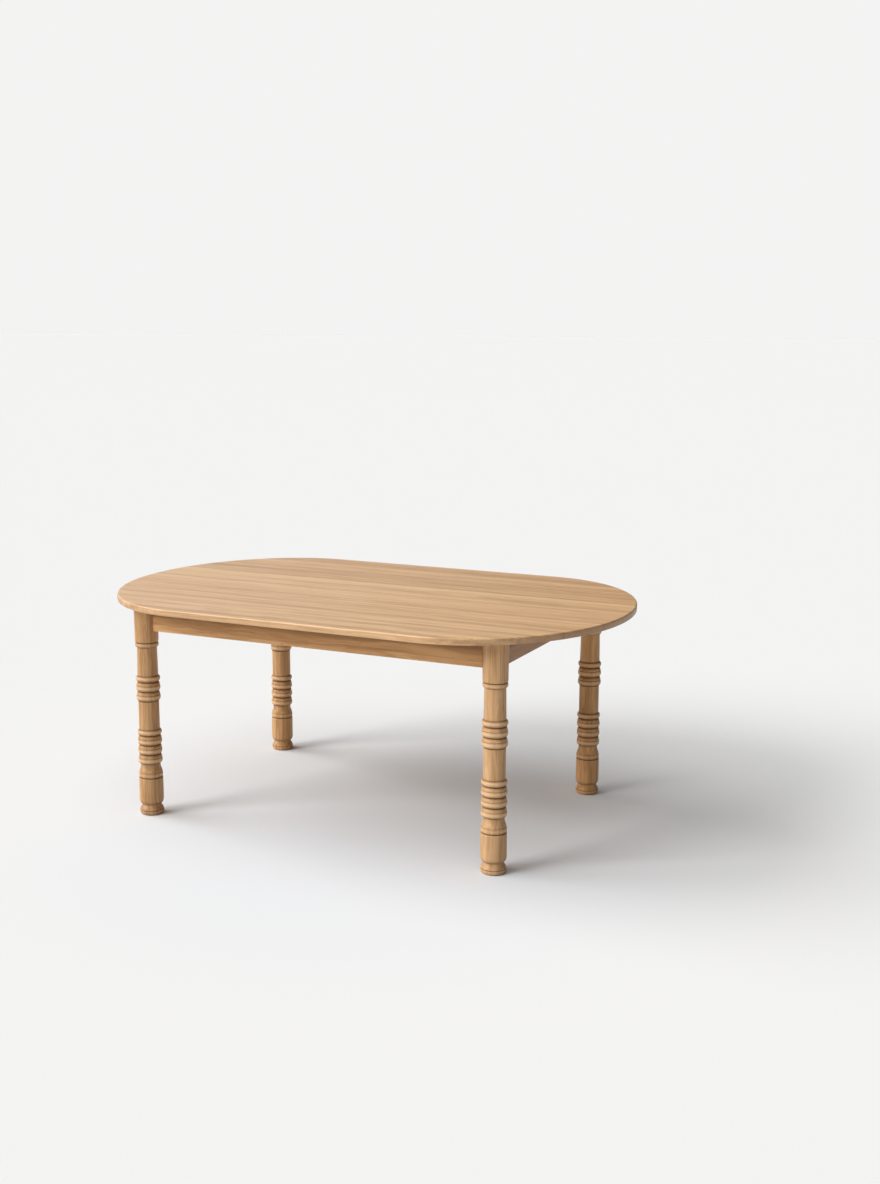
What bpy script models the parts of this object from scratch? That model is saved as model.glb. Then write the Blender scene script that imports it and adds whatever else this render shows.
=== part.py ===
"""Dolls house dining table: a racetrack top of edge-glued boards on four turned legs.

The origin is on the floor under the middle of the top. X runs along the table, Y across it
(the front side faces -Y) and Z up. Sizes are in metres.
"""
import math

import bmesh
import bpy

# Overall sizes.
TABLE_LENGTH = 0.150
TABLE_WIDTH = 0.096
TABLE_HEIGHT = 0.0623
GLUE_GAP = 0.0003  # clearance kept between neighbours that are glued or pinned together

# Top: two outer boards, wide enough to hold the leg pins, and inner boards that share the rest.
TOP_THICKNESS = 0.0018
TOP_END_DEPTH = 0.0385  # how far each curved end reaches past the straight sides
OUTER_BOARD_WIDTH = 0.020
INNER_BOARDS = 4
TOP_ARRIS = 0.0004  # radius of the rounded upper edge
UNDER_ARRIS = 0.0002  # chamfer of the lower edge
QUARTER_STEPS = 24  # points along a quarter of the outline

# Legs: where they stand, and the turned details from the floor up.
LEG_INSET_LENGTHWISE = 0.0222  # from the end of the top to the leg's axis
LEG_INSET_CROSSWISE = 0.0123  # from the side of the top to the leg's axis
LEG_SIDES = 16
FOOT_REST_D = 0.0055
FOOT_D = 0.0067
FOOT_HEIGHT = 0.0031
ANKLE_D = 0.0054
DRUM_D = 0.00675
DRUM_HEIGHT = 0.0077
DRUM_SHOULDER = 0.0014  # height of the drum's rounded lower end
DRUM_BEAD_D = 0.0067
DRUM_BEAD_HEIGHT = 0.0015
COVE_D = 0.0055
COVE_HEIGHT = 0.0025
RING_D = 0.00675
RING_VALLEY_D = 0.0056
RING_LINE_D = 0.0063  # where the flare above each ring ends in a fine line
RING_PITCH = 0.00275
RING_HEIGHT = 0.0017
RING_ABOVE_CREST = 0.00075
LOWER_RINGS = 4
UPPER_RINGS = 3
SHAFT_D = 0.00575
NECK_D = 0.0055
COLLAR_D = 0.0065
COLLAR_HEIGHT = 0.0014
GROOVE_DEPTH = 0.0003
BLOCK_D = 0.0067  # the plain upper block, at its top
BLOCK_TAPER = 0.0002  # how much narrower the block is at its lower end
BLOCK_BELOW_APRON = 0.0034

# Aprons, with a central stub tenon on each end.
APRON_HEIGHT = 0.0069
APRON_THICKNESS = 0.0024
TENON_THICKNESS = 0.0010
TENON_SHOULDER = 0.0010  # step above and below the tenon
MORTISE_WALL = 0.00055  # wood left in a leg between a mortise and the pin's hole

# Pins that locate the legs in the top.
PIN_D = 0.0020
PIN_INTO_TOP = 0.0008
PIN_INTO_LEG = 0.0035
PIN_SIDES = 16

# Blocks glued behind the aprons.
CORNER_BLOCK_REACH = 0.0080  # glued length along each apron
CORNER_BLOCK_HEIGHT = 0.0048
GLUE_BLOCK_LENGTH = 0.0080
GLUE_BLOCK_SECTION = 0.0025
GLUE_BLOCK_SPACING = 0.0360  # between the two blocks on a long apron

# Places that follow from the sizes above.
TOP_UNDERSIDE = TABLE_HEIGHT - TOP_THICKNESS
LEG_TOP = TOP_UNDERSIDE - GLUE_GAP
LEG_X = TABLE_LENGTH / 2 - LEG_INSET_LENGTHWISE
LEG_Y = TABLE_WIDTH / 2 - LEG_INSET_CROSSWISE
APRON_BOTTOM = LEG_TOP - APRON_HEIGHT
APRON_SHOULDER = BLOCK_D / 2 + GLUE_GAP  # from a leg's axis to the end of an apron
APRON_INNER_FACE = APRON_THICKNESS / 2 + GLUE_GAP  # from a leg's axis to what is glued inside
PIN_HOLE_RADIUS = PIN_D / 2 + GLUE_GAP
MORTISE_END = PIN_HOLE_RADIUS + MORTISE_WALL  # from a leg's axis to the end of a mortise
TENON_LENGTH = APRON_SHOULDER - MORTISE_END - GLUE_GAP

TOP_COLOUR = (0.64, 0.43, 0.26)
LEG_COLOUR = (0.58, 0.37, 0.21)
APRON_COLOUR = (0.52, 0.32, 0.18)
BLOCK_COLOUR = (0.60, 0.41, 0.25)
PIN_COLOUR = (0.66, 0.50, 0.33)


def clear_scene():
    for item in list(bpy.data.objects):
        bpy.data.objects.remove(item, do_unlink=True)


def wood(name, colour):
    """A waxed wood material for one piece."""
    material = bpy.data.materials.new(name + "_wood")
    material.use_nodes = True
    shader = material.node_tree.nodes["Principled BSDF"]
    shader.inputs["Base Color"].default_value = (*colour, 1.0)
    shader.inputs["Roughness"].default_value = 0.45
    shader.inputs["Metallic"].default_value = 0.0
    return material


def finish_piece(name, mesh, colour, smooth_angle=None):
    """Turn a bmesh into a named object with its own material."""
    bmesh.ops.recalc_face_normals(mesh, faces=mesh.faces)
    data = bpy.data.meshes.new(name)
    mesh.to_mesh(data)
    mesh.free()
    if smooth_angle is not None:
        data.shade_smooth()
        data.set_sharp_from_angle(angle=smooth_angle)
    data.materials.append(wood(name, colour))
    piece = bpy.data.objects.new(name, data)
    bpy.context.collection.objects.link(piece)
    return piece


def loft(name, rings, colour):
    """A closed solid through rings of matching points, from the lowest ring up."""
    mesh = bmesh.new()
    loops = [[mesh.verts.new(point) for point in ring] for ring in rings]
    for below, above in zip(loops, loops[1:]):
        for i in range(len(below)):
            j = (i + 1) % len(below)
            mesh.faces.new((below[i], below[j], above[j], above[i]))
    mesh.faces.new(list(reversed(loops[0])))
    mesh.faces.new(loops[-1])
    return finish_piece(name, mesh, colour)


def prism(name, outline, z_low, z_high, colour):
    """An upright solid with the given outline."""
    return loft(name, [[(x, y, z) for x, y in outline] for z in (z_low, z_high)], colour)


def box(name, low, high, colour):
    """A rectangular solid between two corners."""
    outline = [(low[0], low[1]), (high[0], low[1]), (high[0], high[1]), (low[0], high[1])]
    return prism(name, outline, low[2], high[2], colour)


def turned(name, profile, sides, colour):
    """A solid of revolution about Z. The profile lists (radius, height) from the bottom up."""
    mesh = bmesh.new()
    points = [(0.0, profile[0][1]), *profile, (0.0, profile[-1][1])]
    verts = [mesh.verts.new((radius, 0.0, z)) for radius, z in points]
    edges = [mesh.edges.new(pair) for pair in zip(verts, verts[1:])]
    bmesh.ops.spin(mesh, geom=verts + edges, cent=(0, 0, 0), axis=(0, 0, 1),
                   angle=math.tau, steps=sides, use_merge=True)
    bmesh.ops.remove_doubles(mesh, verts=mesh.verts, dist=1e-6)
    return finish_piece(name, mesh, colour, smooth_angle=math.radians(50))


def as_cutter(piece):
    """Mark an object as a tool for a Boolean, not a piece of the table."""
    piece.hide_render = True
    piece.display_type = "WIRE"
    return piece


def boolean(piece, tool, operation):
    """Cut a tool from a piece, or join it on."""
    modifier = piece.modifiers.new(tool.name, "BOOLEAN")
    modifier.operation = operation
    modifier.object = as_cutter(tool)
    modifier.solver = "EXACT"


def corners():
    """Each corner's name with the signs of its X and Y."""
    for y_name, y_sign in (("front", -1), ("back", 1)):
        for x_name, x_sign in (("left", -1), ("right", 1)):
            yield y_name + "_" + x_name, x_sign, y_sign


# --- top ---------------------------------------------------------------------------------


def board_outline(inset, y_low, y_high, z):
    """A board's outline at one height, where the edge of the whole top is drawn in by inset."""
    straight = TABLE_LENGTH / 2 - TOP_END_DEPTH
    half_width = TABLE_WIDTH / 2 - inset
    low = math.asin(max(-1.0, y_low / half_width))
    high = math.asin(min(1.0, y_high / half_width))
    full_low = math.asin(max(-1.0, y_low / (TABLE_WIDTH / 2)))
    full_high = math.asin(min(1.0, y_high / (TABLE_WIDTH / 2)))
    steps = max(3, round((full_high - full_low) / (math.pi / 2) * QUARTER_STEPS))
    right = []
    for k in range(steps + 1):
        angle = low + (high - low) * k / steps
        x = straight + (TOP_END_DEPTH - inset) * math.cos(angle)
        right.append((x, half_width * math.sin(angle), z))
    left = [(-x, y, z) for x, y, z in reversed(right)]
    return right + left


def board_limits():
    """The Y range of each board, front to back, with the glue gap at the seams."""
    half_inner = TABLE_WIDTH / 2 - OUTER_BOARD_WIDTH
    seams = [(2 * k / INNER_BOARDS - 1) * half_inner for k in range(INNER_BOARDS + 1)]
    edges = [-TABLE_WIDTH / 2 - GLUE_GAP / 2, *seams, TABLE_WIDTH / 2 + GLUE_GAP / 2]
    return [(low + GLUE_GAP / 2, high - GLUE_GAP / 2) for low, high in zip(edges, edges[1:])]


def pin_hole(name, x, y):
    """The cutter for one pin's blind hole, in the leg and in the top."""
    z_low = LEG_TOP - PIN_INTO_LEG - GLUE_GAP
    z_high = TOP_UNDERSIDE + PIN_INTO_TOP + GLUE_GAP
    profile = [(PIN_HOLE_RADIUS, z_low), (PIN_HOLE_RADIUS, z_high)]
    hole = turned(name, profile, PIN_SIDES, PIN_COLOUR)
    hole.location = (x, y, 0.0)
    return as_cutter(hole)


def make_top(pin_holes):
    slant = TOP_ARRIS * (1 - math.cos(math.pi / 4))
    levels = [
        (TOP_UNDERSIDE, UNDER_ARRIS),
        (TOP_UNDERSIDE + UNDER_ARRIS, 0.0),
        (TABLE_HEIGHT - TOP_ARRIS, 0.0),
        (TABLE_HEIGHT - slant, slant),
        (TABLE_HEIGHT, TOP_ARRIS),
    ]
    hole_reach = PIN_HOLE_RADIUS + GLUE_GAP
    for number, (y_low, y_high) in enumerate(board_limits(), start=1):
        rings = [board_outline(inset, y_low, y_high, z) for z, inset in levels]
        board = loft(f"top_board_{number}", rings, TOP_COLOUR)
        for hole in pin_holes:
            if y_low - hole_reach < hole.location.y < y_high + hole_reach:
                boolean(board, hole, "DIFFERENCE")


# --- legs --------------------------------------------------------------------------------


def arc_points(z_low, z_high, r_low, r_crest, r_high, z_crest, steps):
    """A bead's outline: a quarter ellipse up to the crest, then one down to its upper edge."""
    points = []
    for k in range(steps):
        angle = math.pi / 2 * k / steps
        z = z_crest - (z_crest - z_low) * math.cos(angle)
        points.append((r_low + (r_crest - r_low) * math.sin(angle), z))
    points.append((r_crest, z_crest))
    for k in range(1, steps + 1):
        angle = math.pi / 2 * k / steps
        z = z_crest + (z_high - z_crest) * math.sin(angle)
        points.append((r_high + (r_crest - r_high) * math.cos(angle), z))
    return points


def ring_group(z_low, count):
    """Turned rings from the lowest up. Below the next ring each one flares out of a valley."""
    valley = RING_VALLEY_D / 2
    line = RING_LINE_D / 2
    points = []
    for k in range(count):
        z_bottom = z_low + k * RING_PITCH
        z_top = z_bottom + RING_HEIGHT
        z_crest = z_top - RING_ABOVE_CREST
        r_above = line if k < count - 1 else valley
        points += arc_points(z_bottom, z_top, valley, RING_D / 2, r_above, z_crest, 2)
    return points


def leg_profile():
    """The leg's outline from the floor up. The plain neck and shaft share the spare height."""
    upper_height = (UPPER_RINGS - 1) * RING_PITCH + RING_HEIGHT
    lower_height = (LOWER_RINGS - 1) * RING_PITCH + RING_HEIGHT
    drum_low = FOOT_HEIGHT
    drum_high = drum_low + DRUM_HEIGHT
    bead_high = drum_high + DRUM_BEAD_HEIGHT
    cove_high = bead_high + COVE_HEIGHT
    shaft_low = cove_high + lower_height
    block_low = APRON_BOTTOM - BLOCK_BELOW_APRON
    collar_low = block_low - COLLAR_HEIGHT
    plain = (collar_low - shaft_low - upper_height) / 2
    upper_low = shaft_low + plain
    neck_low = upper_low + upper_height
    foot_crest = FOOT_HEIGHT / 3

    points = arc_points(0.0, drum_low, FOOT_REST_D / 2, FOOT_D / 2, ANKLE_D / 2, foot_crest, 3)
    for k in range(1, 4):
        angle = math.pi / 2 * k / 3
        radius = ANKLE_D / 2 + (DRUM_D - ANKLE_D) / 2 * math.sin(angle)
        points.append((radius, drum_low + DRUM_SHOULDER * (1 - math.cos(angle))))
    points.append((DRUM_D / 2, drum_high - GROOVE_DEPTH))
    points += arc_points(drum_high, bead_high, DRUM_D / 2 - GROOVE_DEPTH, DRUM_BEAD_D / 2,
                         RING_LINE_D / 2, (drum_high + bead_high) / 2, 2)
    points.append((COVE_D / 2, cove_high - COVE_HEIGHT / 4))
    points += ring_group(cove_high, LOWER_RINGS)
    points.append((SHAFT_D / 2, shaft_low + GROOVE_DEPTH))
    points.append((SHAFT_D / 2, upper_low - GROOVE_DEPTH))
    points += ring_group(upper_low, UPPER_RINGS)
    points.append((SHAFT_D / 2, neck_low + GROOVE_DEPTH))
    points.append((NECK_D / 2, collar_low - GROOVE_DEPTH))
    points += arc_points(collar_low, block_low, NECK_D / 2, COLLAR_D / 2,
                         COLLAR_D / 2 - GROOVE_DEPTH, (collar_low + block_low) / 2, 2)
    points.append(((BLOCK_D - BLOCK_TAPER) / 2, block_low + GROOVE_DEPTH))
    points.append((BLOCK_D / 2, LEG_TOP))
    return points


def mortise(name, leg_x, leg_y, x_sign, y_sign):
    """The cutter for one mortise, on the side of the leg that x_sign or y_sign points to."""
    near = MORTISE_END
    far = BLOCK_D  # well outside the leg
    half = TENON_THICKNESS / 2 + GLUE_GAP
    z_low = APRON_BOTTOM + TENON_SHOULDER - GLUE_GAP
    z_high = LEG_TOP - TENON_SHOULDER + GLUE_GAP
    if x_sign:
        x_range = sorted((leg_x + x_sign * near, leg_x + x_sign * far))
        y_range = (leg_y - half, leg_y + half)
    else:
        x_range = (leg_x - half, leg_x + half)
        y_range = sorted((leg_y + y_sign * near, leg_y + y_sign * far))
    low = (x_range[0], y_range[0], z_low)
    high = (x_range[1], y_range[1], z_high)
    return as_cutter(box(name, low, high, LEG_COLOUR))


def make_legs(pin_holes):
    profile = leg_profile()
    for (corner, x_sign, y_sign), hole in zip(corners(), pin_holes):
        leg = turned("leg_" + corner, profile, LEG_SIDES, LEG_COLOUR)
        leg.location = (x_sign * LEG_X, y_sign * LEG_Y, 0.0)
        long_mortise = mortise("mortise_long_" + corner, *leg.location.xy, -x_sign, 0)
        end_mortise = mortise("mortise_end_" + corner, *leg.location.xy, 0, -y_sign)
        for tool in (hole, long_mortise, end_mortise):
            boolean(leg, tool, "DIFFERENCE")


def make_pins():
    profile = [(PIN_D / 2, LEG_TOP - PIN_INTO_LEG), (PIN_D / 2, TOP_UNDERSIDE + PIN_INTO_TOP)]
    for corner, x_sign, y_sign in corners():
        pin = turned("pin_" + corner, profile, PIN_SIDES, PIN_COLOUR)
        pin.location = (x_sign * LEG_X, y_sign * LEG_Y, 0.0)


# --- aprons and the blocks behind them ----------------------------------------------------


def apron(name, half_length, along_x, offset):
    """One apron: a rail with a thinner bar through it that makes a tenon at each end."""
    sizes = (
        (half_length, APRON_THICKNESS / 2, APRON_BOTTOM, LEG_TOP),
        (half_length + TENON_LENGTH, TENON_THICKNESS / 2,
         APRON_BOTTOM + TENON_SHOULDER, LEG_TOP - TENON_SHOULDER),
    )
    made = []
    for part_name, (half, depth, z_low, z_high) in zip((name, name + "_tenons"), sizes):
        if along_x:
            low, high = (-half, offset - depth, z_low), (half, offset + depth, z_high)
        else:
            low, high = (offset - depth, -half, z_low), (offset + depth, half, z_high)
        made.append(box(part_name, low, high, APRON_COLOUR))
    boolean(made[0], made[1], "UNION")


def make_aprons():
    apron("apron_front", LEG_X - APRON_SHOULDER, True, -LEG_Y)
    apron("apron_back", LEG_X - APRON_SHOULDER, True, LEG_Y)
    apron("apron_left", LEG_Y - APRON_SHOULDER, False, -LEG_X)
    apron("apron_right", LEG_Y - APRON_SHOULDER, False, LEG_X)


def make_corner_blocks():
    """A block across each corner, its outer corner cut off to clear the round leg."""
    clear = (BLOCK_D / 2 + GLUE_GAP) * math.sqrt(2) - APRON_INNER_FACE
    reach = clear + CORNER_BLOCK_REACH
    face = APRON_INNER_FACE
    for corner, x_sign, y_sign in corners():
        inward = [(clear, face), (reach, face), (face, reach), (face, clear)]
        outline = [(x_sign * (LEG_X - u), y_sign * (LEG_Y - v)) for u, v in inward]
        prism("corner_block_" + corner, outline, LEG_TOP - CORNER_BLOCK_HEIGHT, LEG_TOP,
              BLOCK_COLOUR)


def glue_block(name, low_x, high_x, low_y, high_y):
    low = (min(low_x, high_x), min(low_y, high_y), LEG_TOP - GLUE_BLOCK_SECTION)
    box(name, low, (max(low_x, high_x), max(low_y, high_y), LEG_TOP), BLOCK_COLOUR)


def make_glue_blocks():
    """Small blocks rubbed into the angle between the aprons and the top."""
    half = GLUE_BLOCK_LENGTH / 2
    for corner, x_sign, y_sign in corners():
        middle = x_sign * GLUE_BLOCK_SPACING / 2
        outer = y_sign * (LEG_Y - APRON_INNER_FACE)
        glue_block("glue_block_" + corner, middle - half, middle + half,
                   outer, outer - y_sign * GLUE_BLOCK_SECTION)
    for side, x_sign in (("left", -1), ("right", 1)):
        outer = x_sign * (LEG_X - APRON_INNER_FACE)
        glue_block("glue_block_" + side, outer, outer - x_sign * GLUE_BLOCK_SECTION,
                   -half, half)


def build():
    clear_scene()
    pin_holes = [pin_hole("pin_hole_" + corner, x_sign * LEG_X, y_sign * LEG_Y)
                 for corner, x_sign, y_sign in corners()]
    make_top(pin_holes)
    make_legs(pin_holes)
    make_pins()
    make_aprons()
    make_corner_blocks()
    make_glue_blocks()


build()
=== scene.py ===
# %% [markdown]
# # A dolls house dining table, made like the full-size one
#
# The table is a racetrack top of six edge-glued boards, four turned legs, four aprons with
# stub tenons, and the small blocks and pins that nobody sees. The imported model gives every
# piece its place. This file gives each piece its final surface, one piece at a time.
#
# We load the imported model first.

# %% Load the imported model
import math

import bmesh
import bpy
from mathutils import Matrix, Vector


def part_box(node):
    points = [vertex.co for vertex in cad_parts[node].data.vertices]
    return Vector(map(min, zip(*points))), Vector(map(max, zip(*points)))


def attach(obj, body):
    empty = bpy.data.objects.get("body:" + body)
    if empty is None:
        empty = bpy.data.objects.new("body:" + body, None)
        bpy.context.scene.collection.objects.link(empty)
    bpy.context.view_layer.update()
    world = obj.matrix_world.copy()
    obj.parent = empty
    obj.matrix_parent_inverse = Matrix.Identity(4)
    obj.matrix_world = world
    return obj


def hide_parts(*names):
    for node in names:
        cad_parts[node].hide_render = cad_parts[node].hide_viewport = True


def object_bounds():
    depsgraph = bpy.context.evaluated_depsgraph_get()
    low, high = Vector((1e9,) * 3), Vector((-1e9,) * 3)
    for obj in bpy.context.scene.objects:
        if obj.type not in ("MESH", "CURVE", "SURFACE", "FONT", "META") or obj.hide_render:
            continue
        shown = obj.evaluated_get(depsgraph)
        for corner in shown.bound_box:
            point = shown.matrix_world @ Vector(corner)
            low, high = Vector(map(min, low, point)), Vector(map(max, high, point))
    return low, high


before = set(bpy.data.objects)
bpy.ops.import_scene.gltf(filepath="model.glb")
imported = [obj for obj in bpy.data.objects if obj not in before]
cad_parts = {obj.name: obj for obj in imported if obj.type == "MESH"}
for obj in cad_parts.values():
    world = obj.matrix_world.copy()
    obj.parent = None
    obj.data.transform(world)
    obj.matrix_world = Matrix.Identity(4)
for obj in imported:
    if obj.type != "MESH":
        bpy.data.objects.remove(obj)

packed_low, packed_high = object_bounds()
print("packed nodes:", len(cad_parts))
print("packed box, mm:", [round(1000 * side, 2) for side in packed_high - packed_low])

# %% [markdown]
# # The camera
#
# The table is looked at from its front right, a little above the top. A camera can be aimed
# with an empty and a Track To constraint. Plain turns are clearer here: yaw round the upright
# axis, then pitch down, then a touch of roll, as on a tripod head.

# %% Camera
CAMERA_PLACE = (0.1885, -0.3590, 0.1367)
CAMERA_YAW = math.radians(25.04)
CAMERA_PITCH = math.radians(10.39)
CAMERA_ROLL = math.radians(0.26)
LENS_MM = 44.03


def make_camera():
    data = bpy.data.cameras.new("camera")
    data.lens = LENS_MM
    data.clip_start = 0.01
    data.clip_end = 50.0
    camera = bpy.data.objects.new("camera", data)
    bpy.context.scene.collection.objects.link(camera)
    turn = Matrix.Rotation(CAMERA_YAW, 4, "Z")
    tilt = Matrix.Rotation(math.pi / 2 - CAMERA_PITCH, 4, "X")
    roll = Matrix.Rotation(CAMERA_ROLL, 4, "Z")
    camera.matrix_world = Matrix.Translation(CAMERA_PLACE) @ turn @ tilt @ roll
    bpy.context.scene.camera = camera
    return camera


camera = make_camera()
print("camera lens, mm:", camera.data.lens)

# %% [markdown]
# # Light and paper
#
# The soft shadow says how the table is lit: it is darkest underneath, then drifts off to the
# right and back. That takes one very broad light high in front and two softer-edged lamps
# lower on the left. Area lamps would do, but they are brighter close by, and the paper would
# shade off across the picture. Sun lamps with wide angles are as soft and light it evenly.
#
# The world does three jobs. What the camera sees behind the table is the plain paper, what
# fills the shadows is a dim room, and a white card low on the left shows only in reflections.
# The floor is one large sheet, which ends beyond sight.

# %% Light, room and floor
PAPER = (0.897, 0.897, 0.893)
FLOOR_TONE = (0.80, 0.80, 0.797)
# Painted shade: near the table the floor's colour is darker and cooler.
FLOOR_PAINTED_SHADE = (0.71, 0.745, 0.785)
PAINTED_SHADE_CENTRE = (0.005, -0.012, 0.0)
PAINTED_SHADE_REACH = 0.135
ROOM_LIGHT = 0.07
CARD_FROM = (-0.76, 0.64, 0.10)
CARD_LIGHT = 0.95
FLOOR_SIZE = 40.0
# Each lamp: bearing, height and spread in degrees, its share of the floor's light, its colour.
LAMPS = {
    "overhead": (-126.0, 62.0, 90.0, 0.40, (0.99, 1.0, 1.015)),
    "left": (-173.0, 37.0, 38.0, 0.25, (1.01, 1.0, 0.985)),
    "front_left": (-129.0, 29.0, 28.0, 0.29, (1.01, 1.0, 0.985)),
}


def make_lamp(name, bearing, height, spread, share, colour):
    bearing, height = math.radians(bearing), math.radians(height)
    towards = Vector((math.cos(height) * math.cos(bearing),
                      math.cos(height) * math.sin(bearing), math.sin(height)))
    data = bpy.data.lights.new(name, "SUN")
    data.energy = share * PAPER[0] / FLOOR_TONE[0] * math.pi / towards.z
    data.angle = math.radians(spread)
    data.color = colour
    lamp = bpy.data.objects.new("lamp_" + name, data)
    lamp.rotation_euler = (-towards).to_track_quat("-Z", "Y").to_euler()
    bpy.context.scene.collection.objects.link(lamp)


def make_room():
    """Dim fill for the shadows, bright paper for the camera, and a white card to reflect."""
    world = bpy.data.worlds.new("room")
    bpy.context.scene.world = world
    world.use_nodes = True
    nodes, links = world.node_tree.nodes, world.node_tree.links
    nodes.clear()
    direction = nodes.new("ShaderNodeTexCoord")
    facing = nodes.new("ShaderNodeVectorMath")
    facing.operation = "DOT_PRODUCT"
    facing.inputs[1].default_value = CARD_FROM
    links.new(direction.outputs["Generated"], facing.inputs[0])
    card = nodes.new("ShaderNodeMapRange")
    for name, number in (("From Min", 0.8), ("From Max", 1.0), ("To Max", CARD_LIGHT)):
        card.inputs[name].default_value = number
    links.new(facing.outputs["Value"], card.inputs["Value"])
    seen = nodes.new("ShaderNodeLightPath")
    strength = nodes.new("ShaderNodeMath")
    strength.operation = "MULTIPLY_ADD"
    links.new(card.outputs["Result"], strength.inputs[0])
    links.new(seen.outputs["Is Glossy Ray"], strength.inputs[1])
    strength.inputs[2].default_value = ROOM_LIGHT
    room = nodes.new("ShaderNodeBackground")
    links.new(strength.outputs["Value"], room.inputs["Strength"])
    room.inputs["Color"].default_value = (1.0, 1.0, 1.0, 1.0)
    paper = nodes.new("ShaderNodeBackground")
    paper.inputs["Color"].default_value = (*PAPER, 1.0)
    mix = nodes.new("ShaderNodeMixShader")
    out = nodes.new("ShaderNodeOutputWorld")
    links.new(seen.outputs["Is Camera Ray"], mix.inputs["Fac"])
    links.new(room.outputs["Background"], mix.inputs[1])
    links.new(paper.outputs["Background"], mix.inputs[2])
    links.new(mix.outputs["Shader"], out.inputs["Surface"])


def make_floor():
    """One sheet, with painted shade near the table: darker, and cooler where the wood
    throws warm light on it.

    From below the sheet is clear, so the underside of the table can be looked at too.
    """
    mesh = bmesh.new()
    bmesh.ops.create_grid(mesh, x_segments=1, y_segments=1, size=FLOOR_SIZE / 2)
    data = bpy.data.meshes.new("floor")
    mesh.to_mesh(data)
    mesh.free()
    material = bpy.data.materials.new("pale_paper")
    material.use_nodes = True
    nodes, links = material.node_tree.nodes, material.node_tree.links
    place = nodes.new("ShaderNodeTexCoord")
    distance = nodes.new("ShaderNodeVectorMath")
    distance.operation = "DISTANCE"
    distance.inputs[1].default_value = PAINTED_SHADE_CENTRE
    links.new(place.outputs["Object"], distance.inputs[0])
    fade = nodes.new("ShaderNodeMapRange")
    fade.interpolation_type = "SMOOTHSTEP"
    for name, number in (("From Min", PAINTED_SHADE_REACH), ("From Max", 0.01)):
        fade.inputs[name].default_value = number
    links.new(distance.outputs["Value"], fade.inputs["Value"])
    mix = nodes.new("ShaderNodeMix")
    mix.data_type = "RGBA"
    mix.inputs[6].default_value = (*FLOOR_TONE, 1.0)
    mix.inputs[7].default_value = (*FLOOR_PAINTED_SHADE, 1.0)
    links.new(fade.outputs["Result"], mix.inputs["Factor"])
    shader = nodes["Principled BSDF"]
    links.new(mix.outputs[2], shader.inputs["Base Color"])
    shader.inputs["Roughness"].default_value = 1.0
    shader.inputs["Specular IOR Level"].default_value = 0.0
    below = nodes.new("ShaderNodeNewGeometry")
    clear = nodes.new("ShaderNodeBsdfTransparent")
    side = nodes.new("ShaderNodeMixShader")
    links.new(below.outputs["Backfacing"], side.inputs["Fac"])
    links.new(shader.outputs["BSDF"], side.inputs[1])
    links.new(clear.outputs["BSDF"], side.inputs[2])
    links.new(side.outputs["Shader"], nodes["Material Output"].inputs["Surface"])
    data.materials.append(material)
    floor = bpy.data.objects.new("floor", data)
    bpy.context.scene.collection.objects.link(floor)


bpy.context.scene.view_settings.view_transform = "Standard"
for name, lamp in LAMPS.items():
    make_lamp(name, *lamp)
make_room()
make_floor()
print("lamps:", ", ".join(LAMPS))

# %% [markdown]
# # Small helpers for shader nodes
#
# The finish of every piece is a network of nodes. Three short helpers keep the recipes
# readable: one adds a node and sets its plain values, one does arithmetic, and one blends
# two colours.


# %% Node helpers
class Recipe:
    """A material's node tree, with short ways to add to it."""

    def __init__(self, name):
        self.material = bpy.data.materials.new(name)
        self.material.use_nodes = True
        self.tree = self.material.node_tree
        self.shader = self.tree.nodes["Principled BSDF"]

    def node(self, kind, **values):
        made = self.tree.nodes.new(kind)
        for key, value in values.items():
            setattr(made, key, value)
        return made

    def join(self, source, target):
        self.tree.links.new(source, target)

    def feed(self, socket, value):
        """Link a socket, or set it where the value is a plain number."""
        if isinstance(value, bpy.types.NodeSocket):
            self.join(value, socket)
        else:
            socket.default_value = value

    def maths(self, operation, first, second=0.0, third=0.0, clamp=False):
        made = self.node("ShaderNodeMath", operation=operation, use_clamp=clamp)
        for socket, value in zip(made.inputs, (first, second, third)):
            self.feed(socket, value)
        return made.outputs[0]

    def vector(self, operation, first, second):
        made = self.node("ShaderNodeVectorMath", operation=operation)
        self.feed(made.inputs[0], first)
        self.feed(made.inputs[1], second)
        return made.outputs["Vector"]

    def blend(self, factor, first, second, how="MIX"):
        made = self.node("ShaderNodeMix", data_type="RGBA", blend_type=how)
        self.feed(made.inputs["Factor"], factor)
        for socket, value in ((made.inputs[6], first), (made.inputs[7], second)):
            self.feed(socket, (*value, 1.0) if isinstance(value, tuple) else value)
        return made.outputs[2]

    def noise(self, vector, scale, detail=2.0, roughness=0.5, dimensions="3D"):
        made = self.node("ShaderNodeTexNoise", noise_dimensions=dimensions)
        name = "W" if dimensions == "1D" else "Vector"
        self.join(vector, made.inputs[name])
        made.inputs["Scale"].default_value = scale
        made.inputs["Detail"].default_value = detail
        made.inputs["Roughness"].default_value = roughness
        return made.outputs["Fac"]

    def between(self, value, low, high, to_low=0.0, to_high=1.0):
        made = self.node("ShaderNodeMapRange", interpolation_type="SMOOTHSTEP")
        self.join(value, made.inputs["Value"])
        for name, number in (("From Min", low), ("From Max", high),
                             ("To Min", to_low), ("To Max", to_high)):
            made.inputs[name].default_value = number
        return made.outputs["Result"]


print("helpers ready")

# %% [markdown]
# # Timber
#
# Wood is not a picture wrapped round a board. It is a solid: growth rings round a pith, fibres
# along the grain, and pores between them. If the pattern is worked out in space, the lines on
# the face, the arcs on the end and the streaks on a turned leg all agree by themselves.
#
# The recipe works in millimetres in the piece's own grain axes: `along` the fibres and two
# directions across. It bends space a little, measures the distance to the pith, and turns
# that distance into soft bands of tone and into fine ring lines. Long thin noise makes the
# fibres, and a sharper, thinner noise makes the open pores, which are also tiny grooves.

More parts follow.
